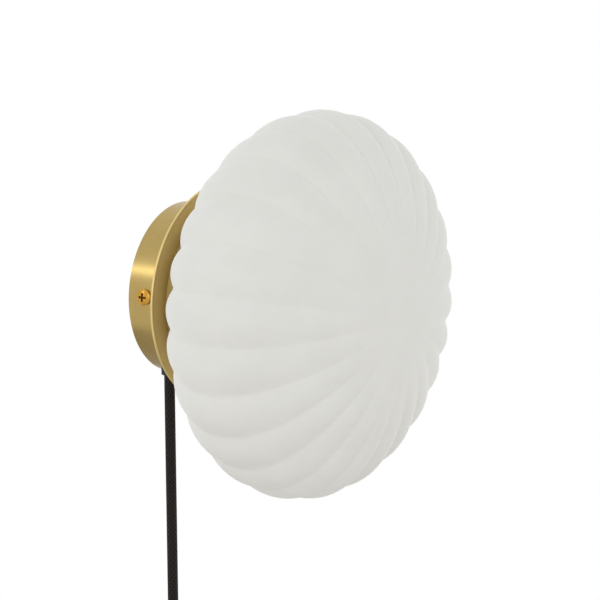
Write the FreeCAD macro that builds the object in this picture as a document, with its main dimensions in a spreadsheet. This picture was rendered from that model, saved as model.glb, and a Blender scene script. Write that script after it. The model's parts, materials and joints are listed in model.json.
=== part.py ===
import FreeCAD
import Part
import Sketcher
import math
import os

# A plug-in wall light: a ribbed opal glass shade on a brass drum, with a braided cord that
# hangs from the drum to a switch, a coil and a plug. Lengths are in millimetres.
# Frame: the wall is the plane y = 0, the lamp stands out along -Y, and +Z is up. The origin is
# the centre of the drum's back. Every turned piece shares the lamp axis, the Y axis.

SIZES = {
    # Canopy drum
    "drum_radius": 50.0,
    "drum_depth": 25.6,
    "drum_wall": 1.2,
    # Wall plate
    "plate_thickness": 2.0,
    "ear_depth": 17.0,
    "ear_width": 14.0,
    "ear_play": 2.0,
    "wall_hole_rise": 38.0,
    "wall_hole_radius": 2.6,
    # Side screws, turned a little from the horizontal
    "side_screw_depth": 11.2,
    "side_screw_turn": 4.5,
    "side_shank_radius": 2.0,
    "side_shank_length": 10.0,
    "side_head_radius": 4.7,
    "side_head_height": 2.4,
    # Holder dish with a rolled edge
    "dish_radius": 63.4,
    "dish_sheet": 1.2,
    "lip_radius": 0.8,
    # Thread ring for the glass neck
    "ring_taper": 3.0,
    "ring_depth": 6.2,
    "neck_play": 0.1,
    "ring_screw_count": 3,
    "ring_screw_inset": 4.6,
    "ring_shank_radius": 1.5,
    "ring_shank_length": 7.0,
    "ring_head_radius": 2.7,
    "ring_head_height": 1.9,
    # Threaded nipple, nut and washer
    "nipple_radius": 4.95,
    "nipple_bore": 3.5,
    "nipple_back": 6.8,
    "nipple_front": 10.0,
    "nut_across": 16.0,
    "nut_height": 4.0,
    "washer_radius": 9.0,
    "washer_thickness": 0.8,
    "thread_play": 0.05,
    # Lampholder
    "holder_radius": 20.0,
    "holder_wall": 2.0,
    "holder_boss_radius": 9.0,
    "holder_boss_height": 3.2,
    "holder_cap_length": 15.2,
    "holder_spigot": 2.0,
    "core_thickness": 7.0,
    "sleeve_length": 32.0,
    "shell_radius": 14.1,
    "shell_wall": 0.5,
    "shell_length": 20.0,
    "shell_hole": 10.0,
    "contact_radius": 4.0,
    "contact_thickness": 1.2,
    # Bulb
    "bulb_gap": 0.3,
    "tip_radius": 4.0,
    "tip_height": 1.5,
    "insulator_radius": 9.0,
    "insulator_height": 2.6,
    "cap_radius": 13.2,
    "cap_wall": 0.5,
    "cap_length": 19.5,
    "collar_length": 12.0,
    "collar_seat": 6.0,
    "globe_radius": 22.5,
    "globe_wall": 1.0,
    "globe_neck_depth": 17.0,
    # Gasket and glass shade
    "gasket_thickness": 1.5,
    "gasket_width": 3.6,
    "neck_inset": 7.75,
    "neck_wall": 3.5,
    "shade_radius": 110.5,
    "equator_depth": 94.2,
    "shade_front_half": 59.0,
    "back_pole_depth": 30.8,
    "front_fullness": 2.10,
    "back_fullness": 2.05,
    "rib_count": 24,
    "rib_turn": 1.3,
    "groove_depth": 3.3,
    "front_disc_radius": 28.0,
    "glass_wall": 3.0,
    "pole_wall": 3.5,
    # Cord and what holds it in the drum
    "cord_diameter": 6.2,
    "cord_left": 24.7,
    "cord_depth": 9.0,
    "cord_end_drop": 12.0,
    "cord_play": 0.05,
    "bush_wall": 1.5,
    "bush_inset": 17.0,
    "bush_length": 13.4,
    "bush_flange": 1.3,
    "bush_flange_height": 2.0,
    "clamp_width": 17.0,
    "clamp_height": 10.0,
    "clamp_bridge_depth": 5.0,
    "clamp_slit": 0.6,
    "clamp_screw_spread": 5.9,
    "clamp_shank_radius": 1.2,
    "clamp_shank_length": 9.0,
    "clamp_head_radius": 2.4,
    "clamp_head_height": 1.6,
    # Terminal block and inner wires
    "block_width": 12.0,
    "block_height": 20.0,
    "block_depth": 14.0,
    "block_rise": 10.0,
    "pole_spacing": 10.0,
    "terminal_shank_radius": 1.3,
    "terminal_shank_length": 5.0,
    "terminal_head_radius": 1.9,
    "terminal_head_height": 1.2,
    "wire_diameter": 1.8,
    "wire_spread": 1.4,
    "live_reach": 25.0,
    "neutral_reach": 18.5,
    # Inline switch
    "switch_top_drop": 192.0,
    "switch_length": 52.0,
    "switch_width": 24.0,
    "switch_half_depth": 7.5,
    "switch_wall": 1.8,
    "cord_in_switch": 7.0,
    "rocker_length": 18.0,
    "rocker_width": 9.0,
    "rocker_rise": 2.4,
    "rocker_play": 0.3,
    "rocker_tilt": 8.0,
    "pin_radius": 1.0,
    "pin_play": 0.05,
    "pin_depth": 3.2,
    "post_radius": 2.6,
    "post_side": 8.4,
    "post_rise": 12.0,
    "case_shank_radius": 1.1,
    "case_shank_length": 11.0,
    "case_head_radius": 2.0,
    "case_head_height": 1.2,
    # Cord below the switch, its coil and the coil's tie
    "link_straight": 30.0,
    "link_slope": 48.0,
    "coil_radius": 34.0,
    "coil_pitch": 6.9,
    "coil_turns": 7,
    "tie_width": 10.0,
    "tie_thickness": 1.2,
    "tie_play": 0.6,
    "tail_length": 16.0,
    # Plug
    "relief_length": 16.0,
    "relief_radius": 5.6,
    "relief_end_radius": 4.2,
    "plug_width": 35.0,
    "plug_thickness": 13.7,
    "plug_length": 36.0,
    "plug_shoulder": 14.0,
    "plug_neck_width": 17.0,
    "plug_rounding": 2.5,
    "pin_spacing": 18.6,
    "prong_radius": 2.0,
    "prong_length": 19.0,
}

HALF_TURN = 180.0
FULL_TURN = 360.0
ARC_SHARE = 0.45
RECESS_SHARE = 0.55
RECESS_ARM = 0.13
GAP_SAMPLES = 16

doc = FreeCAD.newDocument("WallLight")
sheet = doc.addObject("Spreadsheet::Sheet", "Sizes")


def number(term):
    return term.value if isinstance(term, Term) else term


def formula(term):
    return term.text if isinstance(term, Term) else str(term)


class Term:
    """A size that carries its value and the formula that ties it to the sheet."""

    def __init__(self, text, value):
        self.text = text
        self.value = value

    def __add__(self, other):
        return Term(f"({self.text} + {formula(other)})", self.value + number(other))

    def __sub__(self, other):
        return Term(f"({self.text} - {formula(other)})", self.value - number(other))

    def __mul__(self, other):
        return Term(f"({self.text} * {formula(other)})", self.value * number(other))

    def __truediv__(self, other):
        return Term(f"({self.text} / {formula(other)})", self.value / number(other))

    def __neg__(self):
        return Term(f"(-{self.text})", -self.value)


def root_of_squares(longer, shorter):
    """The third side of a right triangle."""
    text = f"sqrt({longer.text} * {longer.text} - {shorter.text} * {shorter.text})"
    return Term(text, math.sqrt(longer.value**2 - shorter.value**2))


class Names:
    """Holds one Term for each size."""


size = Names()
for row, (alias, value) in enumerate(SIZES.items(), start=1):
    sheet.set(f"A{row}", alias)
    sheet.set(f"B{row}", str(value))
    sheet.setAlias(f"B{row}", alias)
    setattr(size, alias, Term(f"Sizes.{alias}", value))
doc.recompute()

ZERO = Term("0", 0.0)
DRUM_FRONT = -size.drum_depth
DISH_FRONT = DRUM_FRONT - size.dish_sheet
DRUM_INSIDE = DRUM_FRONT + size.drum_wall
DRUM_BORE = size.drum_radius - size.drum_wall
RING_FRONT_RADIUS = size.drum_radius - size.ring_taper
RING_SCREW_CIRCLE = size.drum_radius - size.ring_screw_inset
NECK_RADIUS = size.drum_radius - size.neck_inset
SHADE_BACK_HALF = size.equator_depth - size.back_pole_depth
BUSH_TOP = size.drum_radius - size.bush_inset
CLAMP_DROP = BUSH_TOP - size.clamp_height / 2
EAR_FACE = DRUM_BORE - size.ear_play
NIPPLE_HOLE = size.nipple_radius + size.thread_play
HOLDER_STEP = DISH_FRONT - size.holder_cap_length
CORE_BACK = HOLDER_STEP - size.holder_spigot
CORE_FRONT = CORE_BACK - size.core_thickness
TIP_BACK = CORE_FRONT - size.contact_thickness - size.bulb_gap
TIP_FRONT = TIP_BACK - size.tip_height
CAP_BACK = TIP_FRONT - size.insulator_height
CAP_FRONT = CAP_BACK - size.cap_length
COLLAR_FRONT = CAP_FRONT - size.collar_length
GLOBE_CENTRE = COLLAR_FRONT - size.globe_neck_depth
NECK_BACK = DISH_FRONT - size.gasket_thickness
CORD_RADIUS = size.cord_diameter / 2
CORD_X = -size.cord_left
CORD_Y = -size.cord_depth
SWITCH_TOP = -size.switch_top_drop
SWITCH_MIDDLE = SWITCH_TOP - size.switch_length / 2
SWITCH_BOTTOM = SWITCH_TOP - size.switch_length
LINK_TOP = SWITCH_BOTTOM + size.cord_in_switch
COIL_X = CORD_X
COIL_START_X = COIL_X - size.coil_radius
LINK_END = SWITCH_BOTTOM - size.link_straight * 2 - size.link_slope
COIL_Z = LINK_END - size.cord_diameter
COIL_END_Y = CORD_Y - size.coil_pitch * size.coil_turns
TAIL_TOP_Z = COIL_Z - size.cord_diameter
TAIL_END_Z = TAIL_TOP_Z - size.tail_length
RELIEF_END_Z = TAIL_END_Z - size.relief_length
PLUG_FACE_Z = RELIEF_END_Z - size.plug_length


# Ways to make a piece


def bind(item, prop, term):
    """Ties one property to the sheet."""
    item.setExpression(prop, formula(term))


def seat(item, x, y, z, rotation=None):
    """Places a piece, each part of its place tied to the sheet."""
    if rotation is not None:
        item.Placement = FreeCAD.Placement(FreeCAD.Vector(), rotation)
    bind(item, "Placement.Base.x", x)
    bind(item, "Placement.Base.y", y)
    bind(item, "Placement.Base.z", z)
    return item


def label(item, name):
    item.Label = name
    return item


def new_body(name):
    return label(doc.addObject("PartDesign::Body", name), name)


def sketch_on(body, role, name):
    """A sketch on one of the body's own origin planes."""
    sketch = body.newObject("Sketcher::SketchObject", name)
    plane = [part for part in body.Origin.OriginFeatures if part.Role == role][0]
    sketch.AttachmentSupport = [(plane, "")]
    sketch.MapMode = "FlatFace"
    return sketch


def arc_edge(start, end, radius, turn):
    """The short arc from start to end, and which of its ends comes first on the way."""
    chord = end - start
    middle = (start + end) * 0.5
    left = FreeCAD.Vector(-chord.y, chord.x, 0).normalize()
    height = math.sqrt(max(radius**2 - (chord.Length / 2) ** 2, 0.0))
    centre = middle + left * height * turn
    begin, finish = (start, end) if turn > 0 else (end, start)
    first = math.atan2(begin.y - centre.y, begin.x - centre.x)
    last = math.atan2(finish.y - centre.y, finish.x - centre.x)
    if last <= first:
        last += 2 * math.pi
    circle = Part.Circle(centre, FreeCAD.Vector(0, 0, 1), radius)
    return Part.ArcOfCircle(circle, first, last)


def outline(sketch, corners):
    """A closed outline. A corner is (across, up), or (across, up, turn, radius) where the edge
    that starts there is an arc: turn is 1 for a counterclockwise arc and -1 for a clockwise one."""
    places = [FreeCAD.Vector(number(c[0]), number(c[1]), 0) for c in corners]
    count = len(corners)
    first = sketch.GeometryCount
    for i, corner in enumerate(corners):
        start, end = places[i], places[(i + 1) % count]
        if len(corner) == 4:
            edge = arc_edge(start, end, number(corner[3]), corner[2])
        else:
            edge = Part.LineSegment(start, end)
        sketch.addGeometry(edge, False)
    for i, corner in enumerate(corners):
        after = (i + 1) % count
        leaves = 1 if len(corner) == 4 and corner[2] < 0 else 2
        enters = 2 if len(corners[after]) == 4 and corners[after][2] < 0 else 1
        join = Sketcher.Constraint("Coincident", first + i, leaves, first + after, enters)
        sketch.addConstraint(join)
    for i, corner in enumerate(corners):
        begins = 2 if len(corner) == 4 and corner[2] < 0 else 1
        for axis, kind, term in ((-2, "DistanceX", corner[0]), (-1, "DistanceY", corner[1])):
            if abs(number(term)) < 1e-9:
                sketch.addConstraint(Sketcher.Constraint("PointOnObject", first + i, begins, axis))
                continue
            rule = Sketcher.Constraint(kind, -1, 1, first + i, begins, number(term))
            sketch.setExpression(f"Constraints[{sketch.addConstraint(rule)}]", formula(term))
        if len(corner) == 4:
            rule = Sketcher.Constraint("Radius", first + i, number(corner[3]))
            sketch.setExpression(f"Constraints[{sketch.addConstraint(rule)}]", formula(corner[3]))
    return sketch


def circle_on(sketch, across, up, radius):
    """A circle whose centre and radius follow the sheet."""
    centre = FreeCAD.Vector(number(across), number(up), 0)
    normal = FreeCAD.Vector(0, 0, 1)
    geo = sketch.addGeometry(Part.Circle(centre, normal, number(radius)), False)
    rule = Sketcher.Constraint("Radius", geo, number(radius))
    sketch.setExpression(f"Constraints[{sketch.addConstraint(rule)}]", formula(radius))
    for axis, kind, term in ((-2, "DistanceX", across), (-1, "DistanceY", up)):
        if abs(number(term)) < 1e-9:
            sketch.addConstraint(Sketcher.Constraint("PointOnObject", geo, 3, axis))
            continue
        rule = Sketcher.Constraint(kind, -1, 1, geo, 3, number(term))
        sketch.setExpression(f"Constraints[{sketch.addConstraint(rule)}]", formula(term))


def turned(name, corners):
    """A piece turned about the lamp axis. Its corners are (radius, y)."""
    body = new_body(name)
    sketch = outline(sketch_on(body, "XY_Plane", f"{name}_profile"), corners)
    spin = body.newObject("PartDesign::Revolution", f"{name}_turn")
    spin.Profile = sketch
    spin.ReferenceAxis = (sketch, ["V_Axis"])
    spin.Angle = FULL_TURN
    doc.recompute()
    return body


def padded(name, role, corners, depth, midplane=False):
    """A flat outline given a thickness."""
    body = new_body(name)
    sketch = outline(sketch_on(body, role, f"{name}_outline"), corners)
    pad = body.newObject("PartDesign::Pad", f"{name}_pad")
    pad.Profile = sketch
    if midplane:
        pad.SideType = "Symmetric"
    bind(pad, "Length", depth)
    doc.recompute()
    return body


def pocket(body, sketch, depth, reverse, name):
    """Cuts an outline into a body, and stops if nothing was cut."""
    before = body.Shape.Volume
    cut = body.newObject("PartDesign::Pocket", name)
    cut.Profile = sketch
    cut.Reversed = reverse
    if depth is None:
        cut.Type = "ThroughAll"
    else:
        bind(cut, "Length", depth)
    doc.recompute()
    if not body.Shape.Volume < before - 1e-6:
        raise RuntimeError(f"{name} cuts nothing")
    return cut


def drill(body, spots, radius, name):
    """Holes along the lamp axis, all the way through, at (x, z) spots."""
    sketch = sketch_on(body, "XZ_Plane", f"{name}_sketch")
    for across, up in spots:
        circle_on(sketch, across, up, radius)
    return pocket(body, sketch, None, True, name)


def box(name, length, width, height):
    item = label(doc.addObject("Part::Box", name), name)
    bind(item, "Length", length)
    bind(item, "Width", width)
    bind(item, "Height", height)
    return item


def rod(name, radius, height):
    item = label(doc.addObject("Part::Cylinder", name), name)
    bind(item, "Radius", radius)
    bind(item, "Height", height)
    return item


def cut(name, base, tools):
    """The base without the tools."""
    rest = base
    for step, tool in enumerate(tools):
        last = step == len(tools) - 1
        item = doc.addObject("Part::Cut", name if last else f"{name}_cut_{step}")
        item.Base = rest
        item.Tool = tool
        rest = item
    doc.recompute()
    return label(rest, name)


def fuse(name, pieces):
    item = label(doc.addObject("Part::MultiFuse", name), name)
    item.Shapes = pieces
    doc.recompute()
    return item


def group(name, pieces):
    """Identical fasteners under one name, each its own solid."""
    item = label(doc.addObject("Part::Compound", name), name)
    item.Links = pieces
    doc.recompute()
    return item


def shaped(name, shape):
    """A piece whose form no single feature makes."""
    item = label(doc.addObject("Part::Feature", name), name)
    item.Shape = shape
    return item


def screw(name, shank_radius, shank_length, head_radius, head_height):
    """A screw along its own Y axis: the head stands on y = 0 and the shank points to -Y.
    The head is domed and has a cross recess."""
    crown = head_height / 2
    dome = (head_radius * head_radius + crown * crown) / (crown * 2)
    corners = [
        (ZERO, -shank_length),
        (shank_radius, -shank_length),
        (shank_radius, ZERO),
        (head_radius, ZERO),
        (head_radius, crown, 1, dome),
        (ZERO, head_height),
    ]
    body = turned(name, corners)
    arm = head_radius * RECESS_ARM
    reach = head_radius * RECESS_SHARE
    cross = [
        (arm, arm), (arm, reach), (-arm, reach), (-arm, arm), (-reach, arm), (-reach, -arm),
        (-arm, -arm), (-arm, -reach), (arm, -reach), (arm, -arm), (reach, -arm), (reach, arm),
    ]
    sketch = outline(sketch_on(body, "XZ_Plane", f"{name}_cross"), cross)
    bind(sketch, "AttachmentOffset.Base.z", -head_height)
    pocket(body, sketch, crown, True, f"{name}_recess")
    return body


def polar(radius, degrees):
    """A point (x, z) on a circle about the lamp axis, counted from +X towards +Z."""
    text = formula(degrees)
    angle = math.radians(number(degrees))
    across = Term(f"({radius.text} * cos({text} * 1 deg))", radius.value * math.cos(angle))
    up = Term(f"({radius.text} * sin({text} * 1 deg))", radius.value * math.sin(angle))
    return across, up


# Routes of cords and wires


def bend(start, corner, end):
    """The arc from start to end that is tangent to both lines through the corner."""
    middle = (start + end) * 0.5
    cosine = (middle - start).Length / (corner - start).Length
    top = middle + (corner - middle) * (cosine / (1 + cosine))
    return Part.Arc(start, top, end).toShape()


def route(name, points):
    """Straight runs joined by tangent arcs, each as large as its two runs allow."""
    points = [FreeCAD.Vector(*[number(v) for v in p]) for p in points]
    edges = []
    radii = []
    here = points[0]
    for before, corner, after in zip(points, points[1:], points[2:]):
        way_in = (corner - before).normalize()
        way_out = (after - corner).normalize()
        reach = ARC_SHARE * min((corner - before).Length, (after - corner).Length)
        start = corner - way_in * reach
        end = corner + way_out * reach
        edges.append(Part.LineSegment(here, start).toShape())
        edges.append(bend(start, corner, end))
        radii.append(reach / math.tan(way_in.getAngle(way_out) / 2))
        here = end
    edges.append(Part.LineSegment(here, points[-1]).toShape())
    if radii:
        print(name, "bend radii", [round(r, 1) for r in radii])
    return edges


def tube(name, edges, diameter):
    """A round tube along the edges, its volume held against its section times its length."""
    path = Part.Wire(edges)
    start = edges[0].Vertexes[0].Point
    way = edges[0].tangentAt(edges[0].FirstParameter)
    ring = Part.Wire([Part.Circle(start, way, diameter / 2).toShape()])
    solid = path.makePipeShell([ring], True, False)
    section = math.pi * diameter**2 / 4
    share = solid.Volume / (section * path.Length)
    print(name, "length", round(path.Length, 1), "volume share", round(share, 4))
    return shaped(name, solid)


# Canopy and wall plate


def make_canopy_drum():
    corners = [
        (NIPPLE_HOLE, DRUM_FRONT),
        (size.drum_radius, DRUM_FRONT),
        (size.drum_radius, ZERO),
        (DRUM_BORE, ZERO),
        (DRUM_BORE, DRUM_INSIDE),
        (NIPPLE_HOLE, DRUM_INSIDE),
    ]
    body = turned("drum_cup", corners)
    drill(body, ring_screw_spots(), size.ring_shank_radius + size.thread_play, "drum_front_holes")
    side = rod("drum_side_bore", size.side_shank_radius + size.thread_play, size.drum_radius * 3)
    reach = -size.drum_radius * 1.5
    across, up = polar(reach, -size.side_screw_turn)
    turn = FreeCAD.Rotation(FreeCAD.Vector(0, 1, 0), 90 + number(size.side_screw_turn))
    seat(side, across, -size.side_screw_depth, up, turn)
    outlet = rod("drum_outlet", CORD_RADIUS + size.cord_play + size.bush_wall, size.drum_radius)
    seat(outlet, CORD_X, CORD_Y, -size.drum_radius)
    bind(outlet, "Height", size.drum_radius - size.cord_left)
    return cut("canopy_drum", body, [side, outlet])


def make_wall_plate():
    disc = turned("plate_disc", [
        (ZERO, ZERO),
        (ZERO, -size.plate_thickness),
        (EAR_FACE, -size.plate_thickness),
        (EAR_FACE, ZERO),
    ])
    ears = []
    for side, degrees in enumerate((0, HALF_TURN)):
        ear = box(f"plate_ear_{side}", size.plate_thickness, size.ear_depth, size.ear_width)
        angle = size.side_screw_turn * -1 + degrees
        turn = FreeCAD.Rotation(FreeCAD.Vector(0, 1, 0), -number(angle))
        inner = EAR_FACE - size.plate_thickness
        out_x, out_z = polar(inner, angle)
        side_x, side_z = polar(size.ear_width / 2, angle - 90)
        seat(ear, out_x + side_x, -size.ear_depth, out_z + side_z, turn)
        ears.append(ear)
    whole = fuse("plate_blank", [disc] + ears)
    bore = rod("plate_ear_bore", size.side_shank_radius + size.thread_play, EAR_FACE * 3)
    across, up = polar(-EAR_FACE * 1.5, -size.side_screw_turn)
    turn = FreeCAD.Rotation(FreeCAD.Vector(0, 1, 0), 90 + number(size.side_screw_turn))
    seat(bore, across, -size.side_screw_depth, up, turn)
    down = FreeCAD.Rotation(FreeCAD.Vector(1, 0, 0), 90)
    holes = []
    for side, sign in enumerate((1, -1)):
        hole = rod(f"plate_wall_hole_{side}", size.wall_hole_radius, size.plate_thickness * 3)
        seat(hole, ZERO, size.plate_thickness, size.wall_hole_rise * sign, down)
        holes.append(hole)
    return cut("wall_plate", whole, [bore] + holes)


def make_side_screws():
    screws = []
    for side, degrees in enumerate((0, HALF_TURN)):
        item = screw(f"side_screw_{side}", size.side_shank_radius, size.side_shank_length,
                     size.side_head_radius, size.side_head_height)
        angle = size.side_screw_turn * -1 + degrees
        aim = FreeCAD.Rotation(FreeCAD.Vector(0, 1, 0), -number(angle))
        lay = FreeCAD.Rotation(FreeCAD.Vector(0, 0, 1), -90)
        across, up = polar(size.drum_radius, angle)
        seat(item, across, -size.side_screw_depth, up, aim.multiply(lay))
        screws.append(item)
    return group("side_screws", screws)


# Holder dish, thread ring and nipple


def ring_screw_spots():
    """The ring screws sit evenly, the first one at the top."""
    count = int(SIZES["ring_screw_count"])
    return [polar(RING_SCREW_CIRCLE, 90 + i * FULL_TURN / count) for i in range(count)]


def make_holder_dish():
    lip_back = DRUM_FRONT - size.dish_sheet / 2 + size.lip_radius
    lip_front = lip_back - size.lip_radius * 2
    lip_middle = size.dish_radius - size.lip_radius
    seam = size.dish_radius - size.lip_radius * 2
    body = turned("holder_dish", [
        (NIPPLE_HOLE, DRUM_FRONT),
        (NIPPLE_HOLE, DISH_FRONT),
        (seam, DISH_FRONT),
        (lip_middle, lip_front, 1, size.lip_radius),
        (size.dish_radius, lip_front + size.lip_radius, 1, size.lip_radius),
        (lip_middle, lip_back),
        (seam, DRUM_FRONT),
    ])
    drill(body, ring_screw_spots(), size.ring_shank_radius + size.thread_play, "dish_holes")
    return body


def make_thread_ring():
    bore = NECK_RADIUS + size.neck_play
    body = turned("thread_ring", [
        (bore, DISH_FRONT),
        (size.drum_radius, DISH_FRONT),
        (RING_FRONT_RADIUS, DISH_FRONT - size.ring_depth),
        (bore, DISH_FRONT - size.ring_depth),
    ])
    sketch = sketch_on(body, "XZ_Plane", "ring_holes_sketch")
    for across, up in ring_screw_spots():
        circle_on(sketch, across, up, size.ring_shank_radius + size.thread_play)
    bind(sketch, "AttachmentOffset.Base.z", -DISH_FRONT)
    taken = size.ring_shank_length - size.drum_wall - size.dish_sheet
    pocket(body, sketch, taken, True, "ring_holes")
    return body


def make_ring_screws():
    screws = []
    for i, (across, up) in enumerate(ring_screw_spots()):
        item = screw(f"ring_screw_{i}", size.ring_shank_radius, size.ring_shank_length,
                     size.ring_head_radius, size.ring_head_height)
        screws.append(seat(item, across, DRUM_INSIDE, up))
    return group("ring_screws", screws)


def ring_piece(name, inner, outer, back, front):
    """A plain ring about the lamp axis."""
    return turned(name, [(inner, back), (outer, back), (outer, front), (inner, front)])


def make_nipple():
    return ring_piece("threaded_nipple", size.nipple_bore, size.nipple_radius,
                      DRUM_INSIDE + size.nipple_back, DISH_FRONT - size.nipple_front)


def make_lock_washer():
    return ring_piece("lock_washer", NIPPLE_HOLE, size.washer_radius,
                      DRUM_INSIDE + size.washer_thickness, DRUM_INSIDE)


def make_nipple_nut():
    back = DRUM_INSIDE + size.washer_thickness + size.nut_height
    blank = doc.addObject("Part::Prism", "nut_blank")
    blank.Polygon = 6
    bind(blank, "Circumradius", size.nut_across / 2 / math.cos(math.pi / 6))
    bind(blank, "Height", size.nut_height)
    lay = FreeCAD.Rotation(FreeCAD.Vector(1, 0, 0), 90)
    seat(blank, ZERO, back, ZERO, lay)
    bore = rod("nut_bore", NIPPLE_HOLE, size.nut_height * 3)
    seat(bore, ZERO, back + size.nut_height, ZERO, lay)
    return cut("nipple_nut", blank, [bore])


# Lampholder


def make_lampholder_cap():
    boss_end = DISH_FRONT - size.holder_boss_height
    shoulder = HOLDER_STEP + size.holder_spigot * 2
    spigot = size.holder_radius - size.holder_wall - size.thread_play * 2
    hollow = spigot - size.holder_wall
    return turned("lampholder_cap", [
        (NIPPLE_HOLE, DISH_FRONT),
        (size.holder_boss_radius, DISH_FRONT),
        (size.holder_boss_radius, boss_end),
        (size.holder_radius, shoulder),
        (size.holder_radius, HOLDER_STEP),
        (spigot, HOLDER_STEP),
        (spigot, CORE_BACK),
        (hollow, CORE_BACK),
        (hollow, HOLDER_STEP + size.holder_wall),
        (NIPPLE_HOLE, DISH_FRONT - size.nipple_front),
    ])


def make_lampholder_core():
    radius = size.holder_radius - size.holder_wall - size.thread_play * 2
    return turned("lampholder_core", [
        (ZERO, CORE_BACK),
        (ZERO, CORE_FRONT),
        (radius, CORE_FRONT),
        (radius, CORE_BACK),
    ])


def make_lampholder_sleeve():
    front = HOLDER_STEP - size.sleeve_length
    bore = size.holder_radius - size.holder_wall
    mouth = size.shell_radius + size.thread_play
    return turned("lampholder_sleeve", [
        (bore, HOLDER_STEP),
        (size.holder_radius, HOLDER_STEP),
        (size.holder_radius, front),
        (mouth, front),
        (mouth, front + size.holder_wall),
        (bore, front + size.holder_wall),
    ])


def make_screw_shell():
    inner = size.shell_radius - size.shell_wall
    return turned("screw_shell", [
        (size.shell_hole, CORE_FRONT),
        (size.shell_radius, CORE_FRONT),
        (size.shell_radius, CORE_FRONT - size.shell_length),
        (inner, CORE_FRONT - size.shell_length),
        (inner, CORE_FRONT - size.shell_wall),
        (size.shell_hole, CORE_FRONT - size.shell_wall),
    ])


def make_centre_contact():
    return turned("centre_contact", [
        (ZERO, CORE_FRONT),
        (ZERO, CORE_FRONT - size.contact_thickness),
        (size.contact_radius, CORE_FRONT - size.contact_thickness),
        (size.contact_radius, CORE_FRONT),
    ])


# Bulb


def make_bulb_tip():
    return turned("bulb_tip", [
        (ZERO, TIP_BACK),
        (ZERO, TIP_FRONT),
        (size.tip_radius, TIP_FRONT),
        (size.tip_radius * 0.8, TIP_BACK),
    ])


def make_bulb_insulator():
    return turned("bulb_insulator", [
        (ZERO, TIP_FRONT),
        (ZERO, CAP_BACK),
        (size.insulator_radius, CAP_BACK),
        (size.tip_radius, TIP_FRONT),
    ])


def make_bulb_cap():
    shoulder = CAP_BACK - size.cap_radius + size.insulator_radius
    inner = size.cap_radius - size.cap_wall
    return turned("bulb_cap", [
        (ZERO, CAP_BACK),
        (size.insulator_radius, CAP_BACK),
        (size.cap_radius, shoulder),
        (size.cap_radius, CAP_FRONT),
        (inner, CAP_FRONT),
        (inner, shoulder),
        (size.insulator_radius, CAP_BACK - size.cap_wall),
        (ZERO, CAP_BACK - size.cap_wall),
    ])


def make_bulb_collar():
    inner = size.cap_radius - size.cap_wall
    rim = root_of_squares(size.globe_radius, size.globe_neck_depth)
    return turned("bulb_collar", [
        (inner - size.globe_wall * 2, CAP_FRONT + size.collar_seat),
        (inner, CAP_FRONT + size.collar_seat),
        (inner, CAP_FRONT),
        (size.cap_radius, CAP_FRONT),
        (rim, COLLAR_FRONT),
        (rim - size.globe_wall * 2, COLLAR_FRONT),
        (inner - size.globe_wall * 2, CAP_FRONT),
    ])


def make_bulb_globe():
    inside = size.globe_radius - size.globe_wall
    return turned("bulb_globe", [
        (root_of_squares(inside, size.globe_neck_depth), COLLAR_FRONT, -1, inside),
        (ZERO, GLOBE_CENTRE - inside),
        (ZERO, GLOBE_CENTRE - size.globe_radius, 1, size.globe_radius),
        (root_of_squares(size.globe_radius, size.globe_neck_depth), COLLAR_FRONT),
    ])


# Gasket and shade


def make_neck_gasket():
    return ring_piece("neck_gasket", NECK_RADIUS - size.gasket_width, NECK_RADIUS,
                      DISH_FRONT, NECK_BACK)


def profile_depth(radius, full_radius, half_depth, fullness):
    """How far the glass stands from its equator plane, where its radius has shrunk to this."""
    return half_depth * (1 - (radius / full_radius) ** fullness) ** (1 / fullness)


def smooth(value, low, high):
    """0 below low, 1 above high, and a smooth ramp between."""
    share = min(max((value - low) / (high - low), 0.0), 1.0)
    return share * share * (3 - 2 * share)


def lobed_wire(y, radius, groove):
    """One section of the shade: an arc for each rib, meeting in grooves."""
    count = int(number(size.rib_count))
    step = 2 * math.pi / count
    start = math.radians(number(size.rib_turn))

    def spot(reach, angle):
        return FreeCAD.Vector(reach * math.cos(angle), y, reach * math.sin(angle))

    edges = []
    for i in range(count):
        angle = start + i * step
        left = spot(radius - groove, angle)
        crest = spot(radius, angle + step / 2)
        right = spot(radius - groove, angle + step)
        edges.append(Part.Arc(left, crest, right).toShape())
    return Part.Wire(edges)


def shade_sections():
    """Sections (y, crest radius, groove depth) from the neck over the equator to the front disc."""
    full = number(size.shade_radius)
    equator = -number(size.equator_depth)
    groove = number(size.groove_depth)
    neck = number(NECK_RADIUS)
    disc = number(size.front_disc_radius)
    back_start = neck * 1.1
    sections = []
    for share in (0.0, 0.22, 0.46, 0.68, 0.86):
        radius = back_start + (full - back_start) * share
        depth = profile_depth(radius, full, number(SHADE_BACK_HALF), number(size.back_fullness))
        sections.append((equator + depth, radius, groove * smooth(radius, neck, full * 0.66)))
    sections.append((equator, full, groove))
    for share in (0.9, 0.74, 0.56, 0.38, 0.18, 0.0):
        radius = disc + (full - disc) * share
        depth = profile_depth(radius, full, number(size.shade_front_half), number(size.front_fullness))
        sections.append((equator - depth, radius, groove * smooth(radius, disc, full)))
    return sections


def spun_face(points):
    """The solid that an outline of (radius, y) edges sweeps about the lamp axis."""
    face = Part.Face(Part.Wire(points))
    return face.revolve(FreeCAD.Vector(0, 0, 0), FreeCAD.Vector(0, 1, 0), FULL_TURN)


def curve_through(places):
    spline = Part.BSplineCurve()
    spline.interpolate([FreeCAD.Vector(r, y, 0) for r, y in places])
    return spline.toShape()


def line(first, second):
    return Part.LineSegment(FreeCAD.Vector(*first, 0), FreeCAD.Vector(*second, 0)).toShape()


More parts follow.
